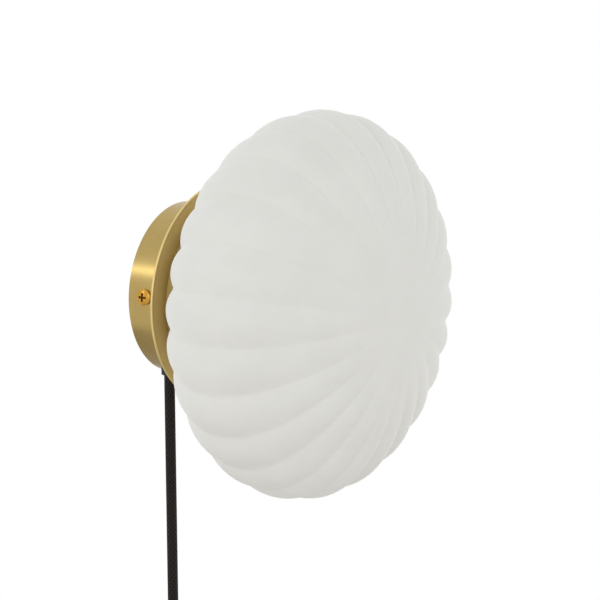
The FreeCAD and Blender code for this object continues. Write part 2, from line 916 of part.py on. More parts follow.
def shade_hollow():
    """The inside of the shade, smooth, with the neck's bore."""
    bore = number(NECK_RADIUS) - number(size.neck_wall)
    radius = number(size.shade_radius) - number(size.groove_depth) - number(size.glass_wall)
    front = number(size.shade_front_half) - number(size.pole_wall)
    back = number(SHADE_BACK_HALF) - number(size.pole_wall)
    equator = -number(size.equator_depth)
    mouth = number(NECK_BACK) + number(size.neck_wall)
    angles = [math.asin(bore / radius) + 0.0, 0.62, 0.86, 1.1, 1.34, math.pi / 2]
    outer = []
    for angle in angles:
        reach = radius * math.sin(angle)
        outer.append((reach, equator + profile_depth(min(reach, radius), radius, back,
                                                     number(size.back_fullness))))
    for angle in (1.34, 1.1, 0.86, 0.62, 0.4, 0.2, 0.0):
        reach = radius * math.sin(angle)
        outer.append((reach, equator - profile_depth(reach, radius, front,
                                                     number(size.front_fullness))))
    edges = [
        line((0, mouth), (bore, mouth)),
        line((bore, mouth), outer[0]),
        curve_through(outer),
        line(outer[-1], (0, mouth)),
    ]
    return spun_face(edges)


def make_glass_shade():
    sections = shade_sections()
    blank = Part.makeLoft([lobed_wire(*section) for section in sections], True, False)
    neck_length = number(NECK_BACK) - sections[0][0] + number(size.neck_wall)
    neck = Part.makeCylinder(number(NECK_RADIUS), neck_length,
                             FreeCAD.Vector(0, number(NECK_BACK), 0), FreeCAD.Vector(0, -1, 0))
    last_y, last_radius, _ = sections[-1]
    pole = -number(size.equator_depth) - number(size.shade_front_half)
    rise = last_y - pole
    ball = (last_radius**2 + rise**2) / (2 * rise)
    half = last_radius / 2
    middle = FreeCAD.Vector(half, pole + ball - math.sqrt(ball**2 - half**2), 0)
    rim = FreeCAD.Vector(last_radius, last_y, 0)
    tip = FreeCAD.Vector(0, pole, 0)
    dome = spun_face([
        line((0, last_y), (last_radius, last_y)),
        Part.Arc(rim, middle, tip).toShape(),
        line((0, pole), (0, last_y)),
    ])
    glass = blank.fuse([neck, dome]).cut(shade_hollow())
    return shaped("glass_shade", glass.Solids[0] if len(glass.Solids) == 1 else glass)


# Cord clamp, bush, terminal block and wires inside the drum


def make_cord_bush():
    bore = CORD_RADIUS + size.cord_play
    outer = bore + size.bush_wall
    top = -BUSH_TOP
    body = turned("cord_bush", [
        (bore, ZERO),
        (outer + size.bush_flange, ZERO),
        (outer + size.bush_flange, -size.bush_flange_height),
        (outer, -size.bush_flange_height),
        (outer, -size.bush_length),
        (bore, -size.bush_length),
    ])
    return seat(body, CORD_X, CORD_Y, top, FreeCAD.Rotation(FreeCAD.Vector(1, 0, 0), 90))


def clamp_groove(name):
    groove = rod(name, CORD_RADIUS + size.cord_play, size.clamp_height * 3)
    return seat(groove, CORD_X, CORD_Y, -CLAMP_DROP - size.clamp_height)


def make_clamp_base():
    block = box("clamp_base_block", size.clamp_width, size.cord_depth - size.plate_thickness,
                size.clamp_height)
    seat(block, CORD_X - size.clamp_width / 2, CORD_Y, -CLAMP_DROP)
    bores = []
    for side, sign in enumerate((1, -1)):
        bore = rod(f"clamp_base_bore_{side}", size.clamp_shank_radius + size.thread_play,
                   size.clamp_shank_length - size.clamp_bridge_depth)
        seat(bore, CORD_X + size.clamp_screw_spread * sign, CORD_Y, clamp_middle(),
             FreeCAD.Rotation(FreeCAD.Vector(1, 0, 0), -90))
        bores.append(bore)
    return cut("clamp_base", block, [clamp_groove("clamp_base_groove")] + bores)


def clamp_middle():
    return size.clamp_height / 2 - CLAMP_DROP


def make_clamp_bridge():
    depth = size.clamp_bridge_depth
    block = box("clamp_bridge_block", size.clamp_width, depth - size.clamp_slit, size.clamp_height)
    seat(block, CORD_X - size.clamp_width / 2, CORD_Y - depth, -CLAMP_DROP)
    bores = []
    for side, sign in enumerate((1, -1)):
        bore = rod(f"clamp_bridge_bore_{side}", size.clamp_shank_radius + size.thread_play,
                   depth * 3)
        seat(bore, CORD_X + size.clamp_screw_spread * sign, CORD_Y - depth * 2, clamp_middle(),
             FreeCAD.Rotation(FreeCAD.Vector(1, 0, 0), -90))
        bores.append(bore)
    return cut("clamp_bridge", block, [clamp_groove("clamp_bridge_groove")] + bores)


def make_clamp_screws():
    screws = []
    for side, sign in enumerate((1, -1)):
        item = screw(f"clamp_screw_{side}", size.clamp_shank_radius, size.clamp_shank_length,
                     size.clamp_head_radius, size.clamp_head_height)
        seat(item, CORD_X + size.clamp_screw_spread * sign, CORD_Y - size.clamp_bridge_depth,
             clamp_middle(), FreeCAD.Rotation(FreeCAD.Vector(0, 0, 1), HALF_TURN))
        screws.append(item)
    return group("clamp_screws", screws)


def pole_height(pole):
    """The height of the lower (0) or upper (1) pole of the terminal block."""
    lower = size.block_rise + size.block_height / 2 - size.pole_spacing / 2
    return lower + size.pole_spacing * pole


def make_terminal_block():
    block = box("terminal_blank", size.block_width, size.block_depth, size.block_height)
    seat(block, -size.block_width / 2, -size.plate_thickness - size.block_depth, size.block_rise)
    face = -size.plate_thickness - size.block_depth
    holes = []
    for pole in (0, 1):
        hole = rod(f"terminal_hole_{pole}", size.terminal_shank_radius + size.thread_play,
                   size.terminal_shank_length)
        seat(hole, ZERO, face, pole_height(pole), FreeCAD.Rotation(FreeCAD.Vector(1, 0, 0), -90))
        holes.append(hole)
    return cut("terminal_block", block, holes)


def make_terminal_screws():
    face = -size.plate_thickness - size.block_depth
    screws = []
    for pole in (0, 1):
        item = screw(f"terminal_screw_{pole}", size.terminal_shank_radius,
                     size.terminal_shank_length, size.terminal_head_radius,
                     size.terminal_head_height)
        seat(item, ZERO, face, pole_height(pole), FreeCAD.Rotation(FreeCAD.Vector(0, 0, 1), HALF_TURN))
        screws.append(item)
    return group("terminal_screws", screws)


def make_supply_wires():
    """From the end of the cord's sheath up to the left side of the terminal block."""
    spread = number(size.wire_diameter) * 0.6
    for name, side, pole in (("supply_live", -1, 1), ("supply_neutral", 1, 0)):
        x = number(CORD_X) + side * spread
        z = number(pole_height(pole))
        y = number(CORD_Y)
        points = [
            (x, y, -number(size.cord_end_drop)),
            (x, y, z),
            (-number(size.block_width) / 2, y, z),
        ]
        tube(name, route(name, points), number(size.wire_diameter))


def make_lamp_wires():
    """From the right side of the terminal block, through the nipple, to the lampholder's core."""
    for name, side, pole, reach in (
        ("lamp_live", -1, 1, size.live_reach),
        ("lamp_neutral", 1, 0, size.neutral_reach),
    ):
        y = number(CORD_Y)
        z = side * number(size.wire_spread)
        points = [
            (number(size.block_width) / 2, y, number(pole_height(pole))),
            (number(reach), y, number(pole_height(pole))),
            (number(reach), y, z),
            (0, y, z),
            (0, number(CORE_BACK), z),
        ]
        tube(name, route(name, points), number(size.wire_diameter))


# Inline switch


def stadium(across, up, half_length, radius):
    """A long outline with round ends, along the up direction."""
    straight = half_length - radius
    return [
        (across + radius, up - straight),
        (across + radius, up + straight, 1, radius),
        (across, up + half_length, 1, radius),
        (across - radius, up + straight),
        (across - radius, up - straight, 1, radius),
        (across, up - half_length, 1, radius),
    ]


def switch_shell(name, inner_first):
    """One half of the switch case: a tray with two posts. It opens towards the parting plane."""
    half = size.switch_length / 2
    radius = size.switch_width / 2
    wall = size.switch_wall
    depth = size.switch_half_depth
    body = padded(f"{name}_tray", "XZ_Plane", stadium(ZERO, ZERO, half, radius), depth)
    hollow = outline(sketch_on(body, "XZ_Plane", f"{name}_hollow"),
                     stadium(ZERO, ZERO, half - wall, radius - wall))
    if not inner_first:
        bind(hollow, "AttachmentOffset.Base.z", wall)
    pocket(body, hollow, depth - wall, True, f"{name}_cavity")
    posts = []
    for i, (sx, sz) in enumerate(((1, 1), (-1, -1))):
        post = rod(f"{name}_post_{i}", size.post_radius, depth)
        seat(post, size.post_side * sx, ZERO, size.post_rise * sz,
             FreeCAD.Rotation(FreeCAD.Vector(1, 0, 0), 90))
        posts.append(post)
    return fuse(f"{name}_blank", [body] + posts)


def switch_bores(name, radius, length, start):
    """The two screw bores along Y, from start towards -Y."""
    bores = []
    for i, (sx, sz) in enumerate(((1, 1), (-1, -1))):
        bore = rod(f"{name}_bore_{i}", radius, length)
        seat(bore, size.post_side * sx, start, size.post_rise * sz,
             FreeCAD.Rotation(FreeCAD.Vector(1, 0, 0), 90))
        bores.append(bore)
    return bores


def make_switch_back():
    depth = size.switch_half_depth
    blank = switch_shell("switch_back", False)
    inlet = rod("switch_back_inlet", CORD_RADIUS + size.cord_play, size.switch_length * 2)
    seat(inlet, ZERO, -depth, -size.switch_length)
    shank = switch_bores("switch_back_shank", size.case_shank_radius + size.thread_play,
                         depth * 2, ZERO)
    head = switch_bores("switch_back_head", size.case_head_radius + size.rocker_play,
                        size.case_head_height, ZERO)
    item = cut("switch_back", blank, [inlet] + shank + head)
    return seat(item, CORD_X, CORD_Y + depth, SWITCH_MIDDLE)


def make_switch_front():
    depth = size.switch_half_depth
    blank = switch_shell("switch_front", True)
    inlet = rod("switch_front_inlet", CORD_RADIUS + size.cord_play, size.switch_length * 2)
    seat(inlet, ZERO, ZERO, -size.switch_length)
    shank = switch_bores("switch_front_shank", size.case_shank_radius + size.thread_play,
                         size.case_shank_length - depth + size.case_head_height, ZERO)
    window = box("switch_window", size.rocker_width + size.rocker_play * 2, depth,
                 size.rocker_length + size.rocker_play * 2)
    seat(window, -size.rocker_width / 2 - size.rocker_play, -depth * 1.5,
         -size.rocker_length / 2 - size.rocker_play)
    cheeks = []
    for side, sign in enumerate((1, -1)):
        cheek = box(f"switch_cheek_{side}", size.switch_wall, depth, size.rocker_length / 2)
        edge = size.rocker_width / 2 + size.rocker_play
        corner = edge if sign > 0 else -edge - size.switch_wall
        seat(cheek, corner, -depth, -size.rocker_length / 4)
        cheeks.append(cheek)
    cheeked = fuse("switch_front_cheeked", [cut("switch_front_cut", blank, [window])] + cheeks)
    bore = rod("switch_pin_bore", size.pin_radius + size.pin_play, pin_length())
    seat(bore, -pin_length() / 2, -size.pin_depth, ZERO,
         FreeCAD.Rotation(FreeCAD.Vector(0, 1, 0), 90))
    item = cut("switch_front", cheeked, [inlet, bore] + shank)
    return seat(item, CORD_X, CORD_Y, SWITCH_MIDDLE)


def pin_length():
    return size.rocker_width + size.rocker_play * 2 + size.switch_wall * 2


def make_rocker_pin():
    item = rod("rocker_pin", size.pin_radius, pin_length())
    return seat(item, CORD_X - pin_length() / 2, CORD_Y - size.pin_depth, SWITCH_MIDDLE,
                FreeCAD.Rotation(FreeCAD.Vector(0, 1, 0), 90))


def make_switch_rocker():
    """The rocker has two crown faces that meet over its pin. It is tilted to its off side."""
    half = size.rocker_length / 2 - size.rocker_play
    back = size.pin_radius * 2
    face = -size.switch_half_depth + size.pin_depth
    edge = face - size.rocker_rise
    slim = half + edge * math.tan(math.radians(number(size.rocker_tilt)))
    corners = [
        (back, -half / 2),
        (back, half / 2),
        (ZERO, half),
        (edge, slim),
        (face - size.rocker_rise / 4, ZERO),
        (edge, -slim),
        (ZERO, -half),
    ]
    blank = padded("rocker_blank", "YZ_Plane", corners, size.rocker_width, True)
    bore = rod("rocker_bore", size.pin_radius + size.pin_play, size.rocker_width * 2)
    seat(bore, -size.rocker_width, ZERO, ZERO, FreeCAD.Rotation(FreeCAD.Vector(0, 1, 0), 90))
    item = cut("switch_rocker", blank, [bore])
    tilt = FreeCAD.Rotation(FreeCAD.Vector(1, 0, 0), number(size.rocker_tilt))
    return seat(item, CORD_X, CORD_Y - size.pin_depth, SWITCH_MIDDLE, tilt)


def make_switch_screws():
    screws = []
    back = CORD_Y + size.switch_half_depth - size.case_head_height
    for i, (sx, sz) in enumerate(((1, 1), (-1, -1))):
        item = screw(f"switch_screw_{i}", size.case_shank_radius, size.case_shank_length,
                     size.case_head_radius, size.case_head_height)
        screws.append(seat(item, CORD_X + size.post_side * sx, back,
                           SWITCH_MIDDLE + size.post_rise * sz))
    return group("switch_screws", screws)


# Cord


def make_cord_drop():
    """The stretch that hangs from the drum, straight, into the top of the switch."""
    x, y = number(CORD_X), number(CORD_Y)
    points = [(x, y, -number(size.cord_end_drop)), (x, y, number(SWITCH_TOP - size.cord_in_switch))]
    tube("cord_drop", route("cord_drop", points), number(size.cord_diameter))


def make_cord_link():
    """From the switch down to the left side of the coil."""
    y = number(CORD_Y)
    straight = number(size.link_straight)
    top = number(SWITCH_BOTTOM)
    points = [
        (number(CORD_X), y, number(LINK_TOP)),
        (number(CORD_X), y, top - straight),
        (number(COIL_START_X), y, number(LINK_END) + straight),
        (number(COIL_START_X), y, number(LINK_END)),
    ]
    tube("cord_link", route("cord_link", points), number(size.cord_diameter))


def coil_places():
    """Places and ways at each quarter turn of the coil, which starts and ends straight down."""
    radius, pitch = number(size.coil_radius), number(size.coil_pitch)
    rise = pitch / (2 * math.pi)
    quarters = int(number(size.coil_turns)) * 4
    places = []
    for quarter in range(quarters + 1):
        angle = math.pi + quarter * math.pi / 2
        turned_by = quarter * math.pi / 2
        place = FreeCAD.Vector(
            number(COIL_X) + radius * math.cos(angle),
            number(CORD_Y) - rise * turned_by,
            number(COIL_Z) + radius * math.sin(angle),
        )
        climb = 0 if quarter in (0, quarters) else rise
        way = FreeCAD.Vector(-radius * math.sin(angle), -climb, radius * math.cos(angle))
        places.append((place, way.normalize()))
    return places


def two_arcs(start, way_in, end, way_out):
    """Two arcs that leave start along way_in, meet smoothly and arrive at end along way_out."""
    chord = end - start
    both = way_in + way_out
    along = chord.dot(both)
    share = way_in.dot(way_out)
    square = chord.dot(chord)
    reach = (math.sqrt(along**2 + 2 * (1 - share) * square) - along) / (2 * (1 - share))
    first = start + way_in * reach
    second = end - way_out * reach
    joint = (first + second) * 0.5
    return [bend(start, first, joint), bend(joint, second, end)]


def make_cord_coil():
    """Real turns side by side, one cord diameter and a little more apart."""
    places = coil_places()
    lead = FreeCAD.Vector(0, 0, number(size.cord_diameter))
    first, last = places[0][0], places[-1][0]
    edges = [Part.LineSegment(first + lead, first).toShape()]
    for (start, way_in), (end, way_out) in zip(places, places[1:]):
        edges.extend(two_arcs(start, way_in, end, way_out))
    edges.append(Part.LineSegment(last, last - lead).toShape())
    tube("cord_coil", edges, number(size.cord_diameter))
    samples = [edge.valueAt(edge.FirstParameter + (edge.LastParameter - edge.FirstParameter)
                            * i / GAP_SAMPLES) for edge in edges for i in range(GAP_SAMPLES)]
    apart = 4 * 2 * GAP_SAMPLES // 2
    least = min((samples[i] - samples[j]).Length
                for i in range(len(samples)) for j in range(i + apart, len(samples)))
    print("cord_coil least gap", round(least - number(size.cord_diameter), 3))


def make_coil_tie():
    """A flat band about the turns at the top of the coil."""
    radius = CORD_RADIUS + size.tie_play
    quarter = size.coil_pitch * 0.75
    near = CORD_Y - quarter + radius
    far = CORD_Y - quarter - size.coil_pitch * (size.coil_turns - 1) - radius
    middle = COIL_Z + size.coil_radius
    thick = size.tie_thickness
    outer = box("tie_outer", size.tie_width, near - far + thick * 2, radius * 2 + thick * 2)
    seat(outer, COIL_X - size.tie_width / 2, far - thick, middle - radius - thick)
    inner = box("tie_inner", size.tie_width * 3, near - far, radius * 2)
    seat(inner, COIL_X - size.tie_width * 1.5, far, middle - radius)
    return cut("coil_tie", outer, [inner])


def make_cord_tail():
    x, y = number(COIL_START_X), number(COIL_END_Y)
    points = [(x, y, number(TAIL_TOP_Z)), (x, y, number(TAIL_END_Z))]
    tube("cord_tail", route("cord_tail", points), number(size.cord_diameter))


# Plug


def make_plug_relief():
    """A tapered sleeve with grooves, moulded to the plug."""
    bore = CORD_RADIUS + size.cord_play
    steps = 4
    wide, narrow = size.relief_radius, size.relief_end_radius
    corners = [(ZERO, ZERO), (narrow, ZERO)]
    for i in range(steps):
        start = -(size.relief_length * (i + 0.6) / steps)
        end = -(size.relief_length * (i + 0.85) / steps)
        here = narrow + (wide - narrow) * ((i + 0.6) / steps)
        corners.append((here, start))
        corners.append((here - 0.5, start - 0.1))
        corners.append((here - 0.5, end))
        corners.append((here + (wide - narrow) * (0.25 / steps), end - 0.1))
    corners.append((wide, -size.relief_length))
    corners.append((ZERO, -size.relief_length))
    blank = turned("relief_blank", corners)
    seat(blank, COIL_START_X, COIL_END_Y, TAIL_END_Z, FreeCAD.Rotation(FreeCAD.Vector(1, 0, 0), 90))
    return label(blank, "plug_relief")


def make_plug_body():
    half, neck = size.plug_width / 2, size.plug_neck_width / 2
    body = padded("plug_blank", "XZ_Plane", [
        (half, ZERO),
        (half, size.plug_shoulder),
        (neck, size.plug_length),
        (-neck, size.plug_length),
        (-half, size.plug_shoulder),
        (-half, ZERO),
    ], size.plug_thickness, True)
    edges = [f"Edge{i + 1}" for i, edge in enumerate(body.Shape.Edges)
             if edge.CenterOfMass.z > size.plug_rounding.value / 2]
    blank = body.Tip
    rounding = body.newObject("PartDesign::Fillet", "plug_edges")
    rounding.Base = (blank, edges)
    bind(rounding, "Radius", size.plug_rounding)
    doc.recompute()
    label(body, "plug_body")
    return seat(body, COIL_START_X, COIL_END_Y, PLUG_FACE_Z)


def make_plug_pins():
    pins = []
    for side, sign in enumerate((1, -1)):
        radius = size.prong_radius
        pin = turned(f"plug_pin_{side}", [
            (ZERO, ZERO),
            (radius, ZERO),
            (radius, -size.prong_length + radius, -1, radius),
            (ZERO, -size.prong_length),
        ])
        seat(pin, COIL_START_X + size.pin_spacing / 2 * sign, COIL_END_Y, PLUG_FACE_Z,
             FreeCAD.Rotation(FreeCAD.Vector(1, 0, 0), 90))
        pins.append(pin)
    return group("plug_pins", pins)


make_canopy_drum()
make_wall_plate()
make_side_screws()
make_holder_dish()
make_thread_ring()
make_ring_screws()
make_nipple()
make_lock_washer()
make_nipple_nut()
make_lampholder_cap()
make_lampholder_core()
make_lampholder_sleeve()
make_screw_shell()
make_centre_contact()
make_bulb_tip()
make_bulb_insulator()
make_bulb_cap()
make_bulb_collar()
make_bulb_globe()
make_neck_gasket()
make_glass_shade()
make_cord_bush()
make_clamp_base()
make_clamp_bridge()
make_clamp_screws()
make_terminal_block()
make_terminal_screws()
make_supply_wires()
make_lamp_wires()
make_switch_back()
make_switch_front()
make_rocker_pin()
make_switch_rocker()
make_switch_screws()
make_cord_drop()
make_cord_link()
make_cord_coil()
make_coil_tie()
make_cord_tail()
make_plug_relief()
make_plug_body()
make_plug_pins()
doc.recompute()

NODES = (
    "wall_plate", "canopy_drum", "side_screws", "holder_dish", "thread_ring", "ring_screws",
    "threaded_nipple", "nipple_nut", "lock_washer", "lampholder_cap", "lampholder_core",
    "lampholder_sleeve", "screw_shell", "centre_contact", "bulb_tip", "bulb_insulator",
    "bulb_cap", "bulb_collar", "bulb_globe", "neck_gasket", "glass_shade", "cord_bush",
    "clamp_base", "clamp_bridge", "clamp_screws", "terminal_block", "terminal_screws",
    "supply_live", "supply_neutral", "lamp_live", "lamp_neutral", "switch_back",
    "switch_front", "rocker_pin", "switch_rocker", "switch_screws", "cord_drop", "cord_link",
    "cord_coil", "coil_tie", "cord_tail", "plug_relief", "plug_body", "plug_pins",
)

for item in doc.Objects:
    if "Invalid" in item.State or "Error" in item.State:
        raise RuntimeError(f"{item.Label} failed: {item.State}")

os.makedirs("parts", exist_ok=True)
for name in NODES:
    piece = doc.getObjectsByLabel(name)[0]
    shape = piece.Shape
    if shape.isNull() or not shape.isValid():
        raise RuntimeError(f"{name} has no sound shape")
    shape.exportStep(f"parts/{name}.step")
    print(f"{name}: {len(shape.Solids)} solid(s), {shape.Volume:.1f} mm3")
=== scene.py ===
# %% [markdown]
# # A ribbed glass wall light
# This file dresses a wall light: an opal glass shade with 24 ribs, a satin brass drum and
# dish, and a braided cord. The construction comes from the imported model, so every piece
# already has its real size and place, and this file adds fine shapes, finishes, light and
# the camera. Lengths are in metres, the wall is the plane y = 0, and the lamp looks
# along -Y.

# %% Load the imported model
import json
import math

import bmesh
import bpy
from mathutils import Matrix, Vector


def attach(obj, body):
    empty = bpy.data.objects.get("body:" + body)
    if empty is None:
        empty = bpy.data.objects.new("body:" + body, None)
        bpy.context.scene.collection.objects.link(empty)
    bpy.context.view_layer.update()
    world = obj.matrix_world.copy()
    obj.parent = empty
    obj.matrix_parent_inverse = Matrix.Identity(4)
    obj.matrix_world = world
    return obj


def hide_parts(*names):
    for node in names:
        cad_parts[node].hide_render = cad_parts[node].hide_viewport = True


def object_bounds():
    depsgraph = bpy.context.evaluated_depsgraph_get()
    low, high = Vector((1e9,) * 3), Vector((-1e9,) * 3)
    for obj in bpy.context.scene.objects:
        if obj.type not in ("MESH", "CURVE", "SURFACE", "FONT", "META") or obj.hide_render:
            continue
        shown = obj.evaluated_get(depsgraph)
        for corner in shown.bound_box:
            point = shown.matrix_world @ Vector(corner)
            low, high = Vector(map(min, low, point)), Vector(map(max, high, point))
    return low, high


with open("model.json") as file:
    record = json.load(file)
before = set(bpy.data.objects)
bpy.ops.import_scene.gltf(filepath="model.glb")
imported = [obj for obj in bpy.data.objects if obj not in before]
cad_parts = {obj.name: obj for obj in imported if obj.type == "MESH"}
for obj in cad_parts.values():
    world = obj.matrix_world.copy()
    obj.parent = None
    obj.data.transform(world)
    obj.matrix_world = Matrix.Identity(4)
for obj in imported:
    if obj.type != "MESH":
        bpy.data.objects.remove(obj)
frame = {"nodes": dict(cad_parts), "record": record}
cad_box = [list(corner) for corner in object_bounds()]
nodes = frame["nodes"]
print("pieces in the model:", len(nodes))

# %% [markdown]
# ## Camera
# The photograph was taken from the left and a little above, with a long lens. Its place
# was worked out from the outlines of the drum, the dish and the shade, so it is written
# as an azimuth, an elevation and a distance from a point on the lamp axis, with the small
# turns that bring the object to its place in the picture.

# %% Place the camera
TARGET = Vector((0.0, -0.060, 0.0))
AZIMUTH, ELEVATION, DISTANCE = -54.87, 12.30, 1.4875
YAW, PITCH, ROLL = -0.78, 0.045, -0.29
LENS = 156.0


def direction(azimuth, elevation):
    """From the target towards a viewer: azimuth 0 is in front, along -Y."""
    a, e = math.radians(azimuth), math.radians(elevation)
    return Vector((math.sin(a) * math.cos(e), -math.cos(a) * math.cos(e), math.sin(e)))


def place_camera():
    forward = -direction(AZIMUTH + YAW, ELEVATION + PITCH)
    right = forward.cross(Vector((0, 0, 1))).normalized()
    up = right.cross(forward)
    roll = math.radians(ROLL)
    across = right * math.cos(roll) + up * math.sin(roll)
    above = up * math.cos(roll) - right * math.sin(roll)
    camera = bpy.data.objects.new("camera", bpy.data.cameras.new("camera"))
    camera.data.lens = LENS
    camera.data.sensor_width = 36.0
    camera.data.clip_end = 20.0
    turn = Matrix((across, above, -forward)).transposed().to_4x4()
    place = TARGET + direction(AZIMUTH, ELEVATION) * DISTANCE
    camera.matrix_world = Matrix.Translation(place) @ turn
    bpy.context.scene.collection.objects.link(camera)
    bpy.context.scene.camera = camera
    return camera


print("camera at", [round(v, 3) for v in place_camera().matrix_world.translation])

# %% [markdown]
# ## Helpers for materials
# A material is a small graph of nodes. `Graph` keeps the code short: it makes a node, sets
# its values and joins its inputs. Numbers that are the same all over a surface are set on
# the shader's own sockets; only what changes over the surface comes through a link.


# %% A short way to write a node graph
class Graph:
    def __init__(self, tree):
        self.tree = tree

    def node(self, kind, values=None, links=None, **settings):
        made = self.tree.nodes.new(kind)
        for name, value in settings.items():
            setattr(made, name, value)
        for name, value in (values or {}).items():
            made.inputs[name].default_value = value
        for name, socket in (links or {}).items():
            self.tree.links.new(socket, made.inputs[name])
        return made

    def math(self, operation, first, second=0.0):
        made = self.tree.nodes.new("ShaderNodeMath")
        made.operation = operation
        for slot, value in enumerate((first, second)):
            if isinstance(value, (int, float)):
                made.inputs[slot].default_value = value
            else:
                self.tree.links.new(value, made.inputs[slot])
        return made.outputs[0]

    def mix(self, factor, first, second):
        made = self.node("ShaderNodeMix", data_type="RGBA")
        wanted = ((made.inputs[0], factor), (made.inputs[6], first), (made.inputs[7], second))
        for socket, value in wanted:
            if isinstance(value, (int, float, tuple)):
                socket.default_value = value
            else:
                self.tree.links.new(value, socket)
        return made.outputs[2]


def new_group(name, inputs, outputs):
    """A node group. Inputs are (name, kind, value) and outputs are (name, kind)."""
    tree = bpy.data.node_groups.new(name, "ShaderNodeTree")
    for title, kind, value in inputs:
        socket = tree.interface.new_socket(title, in_out="INPUT", socket_type=kind)
        socket.default_value = value
    for title, kind in outputs:
        tree.interface.new_socket(title, in_out="OUTPUT", socket_type=kind)
    graph = Graph(tree)
    return tree, graph, graph.node("NodeGroupInput"), graph.node("NodeGroupOutput")


def new_material(name, **values):
    """A material whose shader has these plain values."""
    material = bpy.data.materials.new(name)
    material.use_nodes = True
    graph = Graph(material.node_tree)
    shader = material.node_tree.nodes["Principled BSDF"]
    for title, value in values.items():
        shader.inputs[title.replace("_", " ")].default_value = value
    return material, graph, shader


def use_group(graph, tree, coordinates, **values):
    """Places a node group on a material's coordinates."""
    made = graph.node("ShaderNodeGroup", node_tree=tree)
    graph.tree.links.new(coordinates, made.inputs["Coordinates"])
    for title, value in values.items():
        made.inputs[title.replace("_", " ")].default_value = value
    return made


def object_coordinates(graph):
    return graph.node("ShaderNodeTexCoord").outputs["Object"]


def finish(graph, shader, effect, distance):
    """Joins a group's colour, roughness and height to a shader."""
    graph.tree.links.new(effect.outputs["Color"], shader.inputs["Base Color"])
    graph.tree.links.new(effect.outputs["Roughness"], shader.inputs["Roughness"])
    bump = graph.node("ShaderNodeBump", {"Strength": 1.0, "Distance": distance},
                      {"Height": effect.outputs["Height"]})
    graph.tree.links.new(bump.outputs["Normal"], shader.inputs["Normal"])


# %% [markdown]
# ## Turned metal
# The drum and the dish are spun from brass sheet and then polished on a lathe with fine
# grit, so their marks run round the lamp axis. Noise that is stretched along the turning
# direction makes such marks: it reads only the distance from the axis and the depth, so
# it stays the same all the way round.

# %% Build the turned metal effect
OUTPUTS = [("Color", "NodeSocketColor"), ("Roughness", "NodeSocketFloat"), ("Height", "NodeSocketFloat")]


def turned_metal_group():
    tree, g, given, result = new_group(
        "turned_metal",
        [
            ("Coordinates", "NodeSocketVector", (0, 0, 0)),
            ("Light", "NodeSocketColor", (0.5, 0.4, 0.2, 1)),
            ("Dark", "NodeSocketColor", (0.4, 0.3, 0.15, 1)),
            ("Gloss", "NodeSocketFloat", 0.3),
        ],
        OUTPUTS,
    )
    parts = g.node("ShaderNodeSeparateXYZ", links={"Vector": given.outputs["Coordinates"]})
    x, y, z = parts.outputs
    radius = g.math("SQRT", g.math("ADD", g.math("MULTIPLY", x, x), g.math("MULTIPLY", z, z)))
    rings = g.node("ShaderNodeCombineXYZ", links={"X": radius, "Y": y})
    lines = g.node("ShaderNodeTexNoise", {"Scale": 2600.0, "Detail": 3.0, "Roughness": 0.6},
                   {"Vector": rings.outputs[0]})
    cloud = g.node("ShaderNodeTexNoise", {"Scale": 38.0, "Detail": 4.0, "Roughness": 0.55},
                   {"Vector": given.outputs["Coordinates"]})
    speck = g.node("ShaderNodeTexNoise", {"Scale": 900.0, "Detail": 2.0},
                   {"Vector": given.outputs["Coordinates"]})
    tone = g.math("ADD", g.math("MULTIPLY", lines.outputs[0], 0.45),
                  g.math("MULTIPLY", cloud.outputs[0], 0.55))
    spread = g.node("ShaderNodeMapRange", {"From Min": 0.35, "From Max": 0.65}, {"Value": tone})
    colour = g.mix(spread.outputs[0], given.outputs["Dark"], given.outputs["Light"])
    worn = g.math("MULTIPLY", g.math("SUBTRACT", cloud.outputs[0], 0.5), 0.16)
    fine = g.math("MULTIPLY", g.math("SUBTRACT", lines.outputs[0], 0.5), 0.12)
    rough = g.math("ADD", given.outputs["Gloss"], g.math("ADD", worn, fine))
    height = g.math("ADD", lines.outputs[0], g.math("MULTIPLY", speck.outputs[0], 0.4))
    g.tree.links.new(colour, result.inputs["Color"])
    g.tree.links.new(rough, result.inputs["Roughness"])
    g.tree.links.new(height, result.inputs["Height"])
    return tree


TURNED = turned_metal_group()


def turned_metal(name, light, dark, gloss, depth=0.0000025):
    material, graph, shader = new_material(name, Metallic=1.0)
    effect = use_group(graph, TURNED, object_coordinates(graph), Light=light, Dark=dark, Gloss=gloss)
    finish(graph, shader, effect, depth)
    return material


satin_brass = turned_metal("satin_brass", (0.48, 0.355, 0.132, 1), (0.405, 0.29, 0.10, 1), 0.27)
# The dish and the thread ring are the same brass as the drum. The dish's copy is painted lighter, as
# painted light in the gap between the dish and the glass. The ring's copy is painted darker, as painted
# shade over the ring where a lamp lights it through that gap.
dish_brass_painted_light = turned_metal("dish_brass_painted_light", (0.78, 0.61, 0.27, 1), (0.70, 0.53, 0.225, 1), 0.46)
ring_brass_painted_shade = turned_metal("ring_brass_painted_shade", (0.34, 0.25, 0.095, 1), (0.28, 0.20, 0.07, 1), 0.55)
gold_screw = turned_metal("gold_screw", (0.62, 0.335, 0.055, 1), (0.48, 0.24, 0.036, 1), 0.30)
plain_brass = turned_metal("plain_brass", (0.60, 0.43, 0.15, 1), (0.48, 0.33, 0.11, 1), 0.26)
zinc_steel = turned_metal("zinc_steel", (0.56, 0.57, 0.58, 1), (0.42, 0.43, 0.44, 1), 0.36)
nickel_cap = turned_metal("nickel_cap", (0.68, 0.67, 0.64, 1), (0.58, 0.57, 0.54, 1), 0.18)
METALS = (satin_brass, dish_brass_painted_light, ring_brass_painted_shade, gold_screw, plain_brass, zinc_steel, nickel_cap)
print("metals:", len(METALS))

